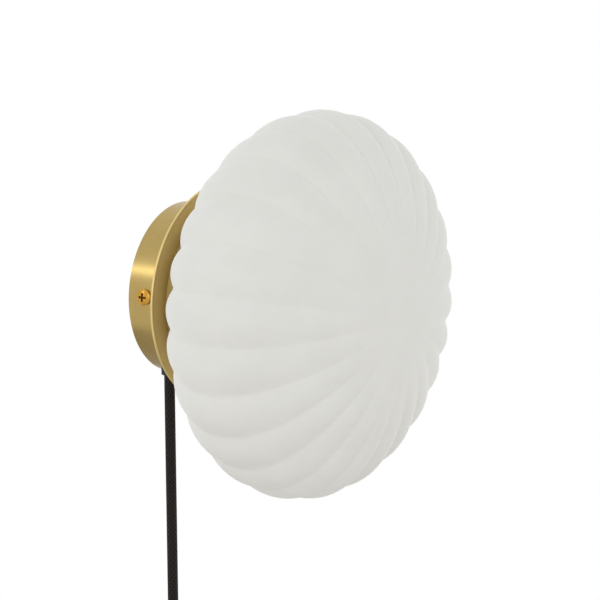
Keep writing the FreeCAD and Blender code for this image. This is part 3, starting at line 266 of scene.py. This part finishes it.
# %% [markdown]
# ## The cross in the side screws
# The cross recess is painted darker than the head: painted shade, for the shadow that falls
# inside it. The shade mask below is the space close to the screws' common axis and under
# the level of the heads' faces. The axis is the line across the drum at the screws' depth,
# turned 4.5 degrees from the horizontal.

# %% Darken the cross recess
SCREW_TURN, SCREW_Y = math.radians(4.5), -0.0112
SCREW_FACE, CROSS_REACH = 0.0518, 0.0034


def cross_shade_group():
    tree, g, given, result = new_group(
        "cross_recess_painted_shade",
        [("Coordinates", "NodeSocketVector", (0, 0, 0)),
         ("Metal", "NodeSocketColor", (0.5, 0.3, 0.1, 1))],
        [("Color", "NodeSocketColor")],
    )
    axis = (-math.cos(SCREW_TURN), 0.0, math.sin(SCREW_TURN))
    from_depth = g.node("ShaderNodeVectorMath", operation="SUBTRACT",
                        values={1: (0.0, SCREW_Y, 0.0)},
                        links={0: given.outputs["Coordinates"]})
    along = g.node("ShaderNodeVectorMath", operation="DOT_PRODUCT", values={1: axis},
                   links={0: from_depth.outputs[0]}).outputs["Value"]
    square = g.node("ShaderNodeVectorMath", operation="DOT_PRODUCT",
                    links={0: from_depth.outputs[0], 1: from_depth.outputs[0]}).outputs["Value"]
    left_over = g.math("SUBTRACT", square, g.math("MULTIPLY", along, along))
    away = g.math("SQRT", g.math("MAXIMUM", left_over, 0.0))
    near = g.math("LESS_THAN", away, CROSS_REACH)
    under = g.math("LESS_THAN", g.math("ABSOLUTE", along), SCREW_FACE)
    recess_shade_mask = g.math("MULTIPLY", near, under)
    # Painted shade: inside the recess the metal is painted a dark brown for the shadow that falls there.
    colour = g.mix(recess_shade_mask, given.outputs["Metal"], (0.10, 0.040, 0.008, 1))
    g.tree.links.new(colour, result.inputs["Color"])
    return tree


def paint_cross_shade(material):
    graph = Graph(material.node_tree)
    shader = material.node_tree.nodes["Principled BSDF"]
    metal = shader.inputs["Base Color"].links[0].from_socket
    made = graph.node("ShaderNodeGroup", node_tree=cross_shade_group(),
                      links={"Coordinates": object_coordinates(graph), "Metal": metal})
    graph.tree.links.new(made.outputs["Color"], shader.inputs["Base Color"])
    return material


paint_cross_shade(gold_screw)
print("the cross recess is", CROSS_REACH * 2000, "mm across")

# %% [markdown]
# ## Moulded plastic, rubber and ceramic
# Moulded pieces are never quite even: the mould's skin is finely grained and the colour
# is a touch cloudy. One group gives both, and each material sets its own amounts.


# %% Build the moulded effect
def moulded_group():
    tree, g, given, result = new_group(
        "moulded_skin",
        [
            ("Coordinates", "NodeSocketVector", (0, 0, 0)),
            ("Tone", "NodeSocketColor", (0.5, 0.5, 0.5, 1)),
            ("Shade", "NodeSocketColor", (0.4, 0.4, 0.4, 1)),
            ("Gloss", "NodeSocketFloat", 0.4),
            ("Grain", "NodeSocketFloat", 1800.0),
        ],
        OUTPUTS,
    )
    grain = g.node("ShaderNodeTexNoise", {"Detail": 3.0, "Roughness": 0.6},
                   {"Vector": given.outputs["Coordinates"], "Scale": given.outputs["Grain"]})
    cloud = g.node("ShaderNodeTexNoise", {"Scale": 45.0, "Detail": 3.0},
                   {"Vector": given.outputs["Coordinates"]})
    spread = g.node("ShaderNodeMapRange", {"From Min": 0.38, "From Max": 0.62},
                    {"Value": cloud.outputs[0]})
    colour = g.mix(spread.outputs[0], given.outputs["Shade"], given.outputs["Tone"])
    worn = g.math("MULTIPLY", g.math("SUBTRACT", cloud.outputs[0], 0.5), 0.15)
    rough = g.math("ADD", given.outputs["Gloss"], worn)
    g.tree.links.new(colour, result.inputs["Color"])
    g.tree.links.new(rough, result.inputs["Roughness"])
    g.tree.links.new(grain.outputs[0], result.inputs["Height"])
    return tree


MOULDED = moulded_group()


def moulded(name, tone, shade, gloss, grain=1800.0, depth=0.00002, **values):
    material, graph, shader = new_material(name, **values)
    effect = use_group(graph, MOULDED, object_coordinates(graph), Tone=tone, Shade=shade,
                       Gloss=gloss, Grain=grain)
    finish(graph, shader, effect, depth)
    return material


white_plastic = moulded("white_plastic", (0.80, 0.80, 0.78, 1), (0.74, 0.74, 0.71, 1), 0.42)
white_ceramic = moulded("white_ceramic", (0.82, 0.82, 0.79, 1), (0.77, 0.76, 0.73, 1), 0.16,
                        grain=900.0, depth=0.00001, Coat_Weight=0.4)
black_plastic = moulded("black_plastic", (0.022, 0.022, 0.023, 1), (0.015, 0.015, 0.016, 1), 0.34)
black_rubber = moulded("black_rubber", (0.026, 0.026, 0.027, 1), (0.018, 0.018, 0.018, 1), 0.62)
clear_rubber = moulded("clear_rubber", (0.62, 0.62, 0.60, 1), (0.55, 0.55, 0.53, 1), 0.38)
bulb_glass = moulded("bulb_glass", (0.84, 0.84, 0.81, 1), (0.80, 0.80, 0.77, 1), 0.30,
                     grain=600.0, depth=0.00001, Coat_Weight=0.25)
brown_sleeve = moulded("brown_sleeve", (0.10, 0.045, 0.022, 1), (0.07, 0.03, 0.015, 1), 0.45)
blue_sleeve = moulded("blue_sleeve", (0.03, 0.10, 0.36, 1), (0.02, 0.07, 0.27, 1), 0.45)
print("moulded finishes are ready")

# %% [markdown]
# ## Opal glass
# The shade is blown from white opal glass and etched to a satin. Light enters the skin a
# little way and comes out beside where it went in, which softens the grooves, so the
# shader scatters under the surface. A faint glow of its own stands for the light that
# crosses the hollow shade and comes out on the far side. The body is faintly cloudy.


# %% Make the opal glass
def opal_glass():
    material, graph, shader = new_material(
        "opal_glass",
        Subsurface_Weight=0.35,
        Subsurface_Scale=0.004,
        Coat_Weight=0.04,
        Coat_Roughness=0.30,
        Specular_IOR_Level=0.28,
        Emission_Strength=0.155,
    )
    shader.inputs["Emission Color"].default_value = (0.95, 0.94, 0.89, 1)
    shader.inputs["Subsurface Radius"].default_value = (1.0, 0.95, 0.85)
    effect = use_group(graph, MOULDED, object_coordinates(graph), Tone=(0.775, 0.775, 0.745, 1),
                       Shade=(0.757, 0.757, 0.727, 1), Gloss=0.46, Grain=420.0)
    finish(graph, shader, effect, 0.000012)
    return material


opal = opal_glass()

# %% [markdown]
# ## Braided cord
# The cord has a textile braid over its rubber sheath: two sets of threads wind round it
# in opposite directions and pass over and under each other. The curve's own UV map runs
# along the cord in U and round it in V, so two slanting waves, one for each set of
# threads, give the braid at its real pitch once U is scaled by the cord's length.


# %% Build the braid
def braid_group():
    tree, g, given, result = new_group(
        "braid",
        [("Coordinates", "NodeSocketVector", (0, 0, 0)), ("Steps", "NodeSocketFloat", 100.0)],
        OUTPUTS,
    )
    parts = g.node("ShaderNodeSeparateXYZ", links={"Vector": given.outputs["Coordinates"]})
    along = g.math("MULTIPLY", parts.outputs[0], given.outputs["Steps"])
    around = g.math("MULTIPLY", parts.outputs[1], 8.0)
    full = 2 * math.pi
    one = g.math("SINE", g.math("MULTIPLY", g.math("ADD", along, around), full))
    two = g.math("SINE", g.math("MULTIPLY", g.math("SUBTRACT", along, around), full))
    over = g.math("MAXIMUM", one, two)
    height = g.math("MULTIPLY", g.math("ADD", over, 1.0), 0.5)
    fuzz = g.node("ShaderNodeTexNoise", {"Scale": 40.0, "Detail": 3.0})
    stretched = g.node("ShaderNodeVectorMath", operation="MULTIPLY",
                       values={1: (30.0, 6.0, 1.0)}, links={0: given.outputs["Coordinates"]})
    g.tree.links.new(stretched.outputs[0], fuzz.inputs["Vector"])
    # Colour follows the braid's height: the thread crowns are painted lighter and the hollows between
    # the threads darker, which is painted shade in the creases; the fuzz noise adds the fibres' own
    # uneven tone.
    lit = g.math("MULTIPLY", g.math("POWER", height, 2.0), g.math("ADD", fuzz.outputs[0], 0.3))
    colour = g.mix(lit, (0.005, 0.0040, 0.0036, 1), (0.026, 0.0200, 0.0180, 1))
    rough = g.math("ADD", 0.55, g.math("MULTIPLY", fuzz.outputs[0], 0.3))
    g.tree.links.new(colour, result.inputs["Color"])
    g.tree.links.new(rough, result.inputs["Roughness"])
    g.tree.links.new(height, result.inputs["Height"])
    return tree


BRAID = braid_group()
BRAID_PITCH = 0.0034


def black_braid(name, length):
    material, graph, shader = new_material(name, Sheen_Weight=0.08, Sheen_Roughness=0.4,
                                           Specular_IOR_Level=0.22)
    shader.inputs["Sheen Tint"].default_value = (0.55, 0.52, 0.50, 1)
    effect = use_group(graph, BRAID, graph.node("ShaderNodeTexCoord").outputs["UV"],
                       Steps=length / BRAID_PITCH)
    finish(graph, shader, effect, 0.00035)
    return material


# %% [markdown]
# ## Finishes on the carried-over pieces
# Most pieces keep the model's own shape, which is right to a fraction of a millimetre.
# Each gets the finish that its record slot names.

# %% Give every node its finish
FINISHES = {
    "zinc_steel": zinc_steel,
    "satin_brass": satin_brass,
    "gold_screw": gold_screw,
    "white_plastic": white_plastic,
    "white_ceramic": white_ceramic,
    "plain_brass": plain_brass,
    "black_plastic": black_plastic,
    "nickel_cap": nickel_cap,
    "bulb_glass": bulb_glass,
    "clear_rubber": clear_rubber,
    "opal_glass": opal,
    "black_rubber": black_rubber,
    "brown_sleeve": brown_sleeve,
    "blue_sleeve": blue_sleeve,
}


def dress_nodes():
    slots = {part["node"]: part["material_slot"] for part in frame["record"]["subparts"]}
    dressed = 0
    for name, item in nodes.items():
        if slots[name] in FINISHES:
            item.data.materials.clear()
            item.data.materials.append(FINISHES[slots[name]])
            dressed += 1
    return dressed


print("nodes dressed:", dress_nodes())
# The lighter copy of the brass goes on the dish and the darker copy on the thread ring: painted light
# and painted shade.
nodes["holder_dish"].data.materials[0] = dish_brass_painted_light
nodes["thread_ring"].data.materials[0] = ring_brass_painted_shade

# %% [markdown]
# ## The glass shade
# A shade like this is blown into a ribbed mould. Each of the 24 ribs is a shallow arc, and
# neighbours meet in a sharp groove. The grooves are deepest round the middle and run out
# before the smooth disc at the front. It can be made by spinning its meridian, outside
# and inside in one closed line, about the lamp axis, and then pressing the grooves into
# the outer wall. Pressing along the surface's own direction keeps the wall's thickness
# even where the glass turns to face forward.

# %% The shade's sizes
RIBS, FIRST_GROOVE = 24, math.radians(1.3)
STEPS_PER_RIB = 14
SHADE_RADIUS, EQUATOR = 0.1105, -0.0942
FRONT_HALF, BACK_HALF = 0.0590, 0.0634
FRONT_FULL, BACK_FULL = 2.10, 2.05
GROOVE = 0.0033
NECK_RADIUS, NECK_BORE, NECK_END = 0.04225, 0.03875, -0.0283
INNER_RADIUS, INNER_FRONT, INNER_BACK = 0.1042, 0.0555, 0.0599


def meridian(radius, front, back, angle):
    """A point (r, y) of the glass. The angle runs from the back pole, 0, to the front pole, pi."""
    half, fullness = (back, BACK_FULL) if angle < math.pi / 2 else (front, FRONT_FULL)
    reach = abs(math.sin(angle)) ** (2 / fullness)
    depth = abs(math.cos(angle)) ** (2 / fullness)
    sign = 1 if angle < math.pi / 2 else -1
    return radius * reach, EQUATOR + sign * half * depth


def ramp(value, low, high):
    share = min(max((value - low) / (high - low), 0.0), 1.0)
    return share * share * (3 - 2 * share)


def groove_at(radius, y):
    """How deep the groove is at a place on the outer wall."""
    if y > EQUATOR:
        return GROOVE * ramp(radius, 0.043, 0.074)
    return GROOVE * ramp(radius, 0.018, 0.100)


def outer_line():
    """The outer wall, from the neck's root to the front pole."""
    start = math.asin((NECK_RADIUS + 0.0022) / SHADE_RADIUS)
    count = 72
    places = []
    for i in range(count + 1):
        angle = start + (math.pi - start) * i / count
        places.append(meridian(SHADE_RADIUS, FRONT_HALF, BACK_HALF, angle))
    places[-1] = (0.0, EQUATOR - FRONT_HALF)
    return [p for p in places if p[0] > NECK_RADIUS + 0.0015 or p[1] < EQUATOR]


def inner_line():
    """The inner wall, from the front pole back to the neck's bore."""
    stop = math.asin((NECK_BORE + 0.001) / INNER_RADIUS)
    count = 34
    places = []
    for i in range(count + 1):
        angle = math.pi - (math.pi - stop) * i / count
        places.append(meridian(INNER_RADIUS, INNER_FRONT, INNER_BACK, angle))
    places[0] = (0.0, EQUATOR - INNER_FRONT)
    return [p for p in places if p[0] > NECK_BORE + 0.0008 or p[1] < EQUATOR]


def thread_line(root, top):
    """The neck's outside, with shallow rings for its thread. They stay inside its radius."""
    places = []
    rings = 3
    for i in range(rings * 6 + 1):
        y = top + (root - top) * i / (rings * 6)
        places.append((NECK_RADIUS - 0.00045 + 0.00045 * math.cos(2 * math.pi * i / 6), y))
    return places


# %% Spin the shade and press its grooves
def make_shade():
    outer, inner = outer_line(), inner_line()
    neck = [(NECK_BORE + 0.0007, NECK_END), (NECK_RADIUS - 0.0007, NECK_END)]
    thread = thread_line(outer[0][1] + 0.0008, NECK_END - 0.0006)
    line = neck + thread + outer + inner + [(NECK_BORE, NECK_END - 0.0007)]
    mesh = bmesh.new()
    depth = mesh.verts.layers.float.new("groove")
    out_r = mesh.verts.layers.float.new("out_r")
    out_y = mesh.verts.layers.float.new("out_y")
    first = len(neck) + len(thread)
    made = []
    for i, (radius, y) in enumerate(line):
        spot = mesh.verts.new((radius, y, 0.0))
        if first <= i < first + len(outer):
            before, after = line[max(i - 1, first)], line[min(i + 1, first + len(outer) - 1)]
            way = Vector((after[0] - before[0], after[1] - before[1])).normalized()
            spot[depth] = groove_at(radius, y)
            spot[out_r], spot[out_y] = -way.y, way.x
        made.append(spot)
    front, back = first + len(outer) - 1, first + len(outer)
    edges = [mesh.edges.new((made[i], made[i + 1])) for i in range(len(made) - 1) if i + 1 != back]
    edges.append(mesh.edges.new((made[-1], made[0])))
    wall = abs(line[front][1] - line[back][1])
    print("meridian points:", len(line), "front wall:", round(wall, 4))
    bmesh.ops.spin(mesh, geom=made + edges, cent=(0, 0, 0), axis=(0, 1, 0), angle=2 * math.pi,
                   steps=RIBS * STEPS_PER_RIB, use_merge=True)
    bmesh.ops.remove_doubles(mesh, verts=mesh.verts, dist=1e-6)
    for spot in mesh.verts:
        if spot[depth] <= 0.0:
            continue
        across = Vector((spot.co.x, 0.0, spot.co.z)).normalized()
        share = (math.atan2(spot.co.z, spot.co.x) - FIRST_GROOVE) * RIBS / (2 * math.pi)
        place = 2 * (share - math.floor(share)) - 1
        outward = across * spot[out_r] + Vector((0.0, spot[out_y], 0.0))
        spot.co -= outward * spot[depth] * place * place
    bmesh.ops.recalc_face_normals(mesh, faces=mesh.faces)
    return new_piece("shade", mesh, opal)


def new_piece(name, mesh, material):
    """Turns a finished bmesh into a smooth piece with one material."""
    data = bpy.data.meshes.new(name)
    mesh.to_mesh(data)
    mesh.free()
    for face in data.polygons:
        face.use_smooth = True
    data.materials.append(material)
    piece = bpy.data.objects.new(name, data)
    bpy.context.scene.collection.objects.link(piece)
    return piece


shade = make_shade()
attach(shade, "shade")
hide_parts("glass_shade")
print("shade faces:", len(shade.data.polygons))

# %% [markdown]
# ## The cord
# A free cord is one smooth curve with a round section. The first stretch hangs straight
# from the drum's outlet into the switch. The second leaves the switch, drifts to the
# left side of the coil, winds seven turns side by side and ends in the plug. The link and
# the tail repeat the model's own points, the straight drop has three more, and a loop
# works out the turns. The smooth spline passes close to each point.

# %% The cord's route
CORD = 0.0062
HANG = Vector((-0.0247, -0.0090, 0.0))
SWITCH_TOP, SWITCH_BOTTOM = -0.192, -0.244
COIL_RADIUS, COIL_PITCH, TURNS = 0.034, 0.0069, 7
COIL_LEFT, COIL_HEIGHT = -0.0587, -0.3582
POINTS_PER_TURN = 16
LINK_STRAIGHT, TAIL = 0.030, 0.016


def new_cord(name, points, material):
    """A round cord along one open spline."""
    curve = bpy.data.curves.new(name, "CURVE")
    curve.dimensions = "3D"
    spline = curve.splines.new("NURBS")
    spline.points.add(len(points) - 1)
    for spot, place in zip(spline.points, points):
        spot.co = (*place, 1.0)
    spline.order_u = 3
    spline.use_endpoint_u = True
    spline.resolution_u = 6
    curve.bevel_depth = CORD / 2
    curve.bevel_resolution = 7
    curve.use_fill_caps = True
    curve.materials.append(material)
    cord = bpy.data.objects.new(name, curve)
    bpy.context.scene.collection.objects.link(cord)
    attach(cord, "base")
    return cord


def length_of(points):
    return sum((Vector(b) - Vector(a)).length for a, b in zip(points, points[1:]))


hang_points = [(HANG.x, HANG.y, z) for z in (-0.012, -0.060, -0.110, -0.158, -0.199)]
hang_length = length_of(hang_points)
hang_cord = new_cord("cord_hanging", hang_points, black_braid("black_braid_hanging", hang_length))
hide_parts("cord_drop")


def coil_points():
    points = []
    grow = 1 / math.cos(math.pi / POINTS_PER_TURN)
    for i in range(1, TURNS * POINTS_PER_TURN):
        turn = i / POINTS_PER_TURN
        angle = math.pi + 2 * math.pi * turn
        points.append((HANG.x + COIL_RADIUS * grow * math.cos(angle),
                       HANG.y - COIL_PITCH * turn,
                       COIL_HEIGHT + COIL_RADIUS * grow * math.sin(angle)))
    return points


far = HANG.y - COIL_PITCH * TURNS
link_points = [(HANG.x, HANG.y, SWITCH_BOTTOM + 0.007),
               (HANG.x, HANG.y, SWITCH_BOTTOM - LINK_STRAIGHT),
               (COIL_LEFT, HANG.y, COIL_HEIGHT + CORD + LINK_STRAIGHT),
               (COIL_LEFT, HANG.y, COIL_HEIGHT + CORD)]
lead_points = (
    link_points
    + coil_points()
    + [(COIL_LEFT, far, COIL_HEIGHT - CORD), (COIL_LEFT, far, COIL_HEIGHT - CORD - TAIL)]
)
lead_cord = new_cord("cord_lead", lead_points, black_braid("black_braid_lead", 1.648))
lead_cord.data.bevel_resolution = 3
lead_cord.data.splines[0].resolution_u = 4
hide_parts("cord_link", "cord_coil", "cord_tail")
print("cord lengths:", round(hang_length, 3), round(length_of(lead_points), 3))

# %% [markdown]
# ## Floor, world and lamps
# The part hangs in a plain studio: a pale floor below it, white all round, and soft
# lamps. The world is white to the camera and in reflections, while its light on the
# object is plain and even. One lamp stands behind the wall plane on the left: it lights
# the ribs from that side and draws the bright band along the drum.


# %% Light the studio
def studio_world(strength):
    world = bpy.data.worlds.new("studio")
    world.use_nodes = True
    graph = Graph(world.node_tree)
    world.node_tree.nodes.clear()
    rays = graph.node("ShaderNodeLightPath")
    indirect = graph.math("MAXIMUM", rays.outputs["Is Glossy Ray"],
                          rays.outputs["Is Transmission Ray"])
    seen = graph.math("MAXIMUM", rays.outputs["Is Camera Ray"], indirect)
    plain = graph.node("ShaderNodeBackground", {"Color": (1, 1, 1, 1), "Strength": strength})
    white = graph.node("ShaderNodeBackground", {"Color": (1, 1, 1, 1), "Strength": 1.0})
    mixed = graph.node("ShaderNodeMixShader")
    graph.tree.links.new(seen, mixed.inputs[0])
    graph.tree.links.new(plain.outputs[0], mixed.inputs[1])
    graph.tree.links.new(white.outputs[0], mixed.inputs[2])
    out = graph.node("ShaderNodeOutputWorld")
    graph.tree.links.new(mixed.outputs[0], out.inputs["Surface"])
    bpy.context.scene.world = world


def lamp(name, place, aim, width, power):
    light = bpy.data.lights.new(name, "AREA")
    light.size = width
    light.energy = power
    item = bpy.data.objects.new(name, light)
    way = (Vector(aim) - Vector(place)).normalized()
    turn = way.to_track_quat("-Z", "Y").to_matrix().to_4x4()
    item.matrix_world = Matrix.Translation(Vector(place)) @ turn
    bpy.context.scene.collection.objects.link(item)
    return item


studio_world(0.615)
lamp("lamp_left_back", (-0.93, 0.62, 0.50), (0.0, -0.03, 0.0), 0.12, 0.66)
lamp("lamp_left", (-1.45, -0.60, 0.42), (0.0, -0.08, 0.0), 0.40, 2.5)
lamp("lamp_front", (0.55, -1.50, 0.35), (0.0, -0.06, 0.0), 0.90, 0.8)


FLOOR_RADIUS, FLOOR_GAP = 0.62, 0.004


def lay_floor():
    mesh = bmesh.new()
    middle = (TARGET.x, TARGET.y, cad_box[0][2] - FLOOR_GAP)
    bmesh.ops.create_circle(mesh, cap_ends=True, segments=96, radius=FLOOR_RADIUS,
                            matrix=Matrix.Translation(middle))
    data = bpy.data.meshes.new("floor")
    mesh.to_mesh(data)
    mesh.free()
    material, graph, shader = new_material("pale_floor", Roughness=0.85)
    shader.inputs["Base Color"].default_value = (0.80, 0.775, 0.74, 1)
    data.materials.append(material)
    floor = bpy.data.objects.new("floor", data)
    bpy.context.scene.collection.objects.link(floor)
    return floor


lay_floor()
bpy.context.scene.view_settings.view_transform = "Standard"

# %% [markdown]
# ## Finish
# The dressed part has to fill the same box as the model. The last step updates the
# view layer.

# %% Finish
bpy.context.view_layer.update()
